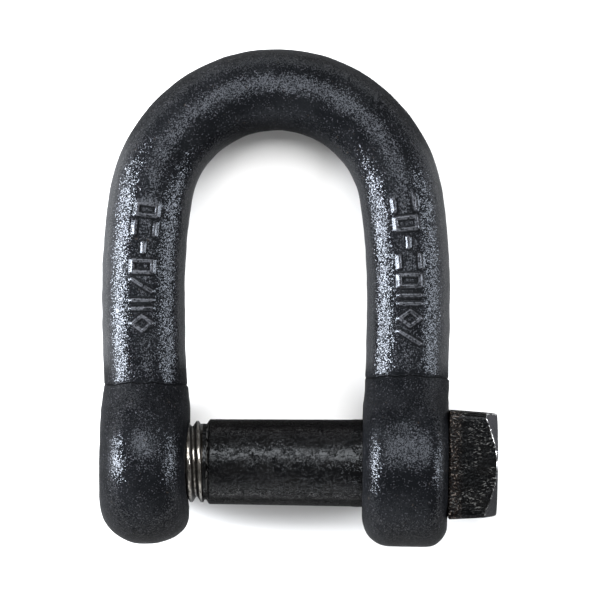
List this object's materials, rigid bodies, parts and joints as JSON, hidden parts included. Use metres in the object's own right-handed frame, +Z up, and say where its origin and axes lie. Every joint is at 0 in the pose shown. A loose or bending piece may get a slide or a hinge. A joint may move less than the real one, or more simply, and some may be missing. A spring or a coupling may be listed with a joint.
{
  "type": "shackle",
  "caption": "Forged D shackle: a round-bar bow with two eyes, closed by a square-headed pin that screws into one of them.",
  "frame": {"origin": "on the floor, under the middle of the shackle's bounding box", "axes": "+X along the pin, from its threaded tip to its square head; +Y from the pin towards the crown of the bow; +Z up. The bow's own plane is tipped 6.5 degrees about X, crown down, because the shackle lies on its crown and on the rims of its eyes"},
  "size_m": [0.105, 0.1308, 0.044],
  "materials": {
    "black_forging": "satin",
    "black_pin": "satin",
    "bare_thread": "satin"
  },
  "bodies": {
    "bow": {"bow": "black_forging"},
    "pin": {"screw_pin": "black_pin"}
  },
  "joints": [
    {"name": "pin_slide", "type": "slide", "parent": "bow", "child": "pin", "axis": [1, 0, 0], "range_m": [0, 0.095]}
  ]
}
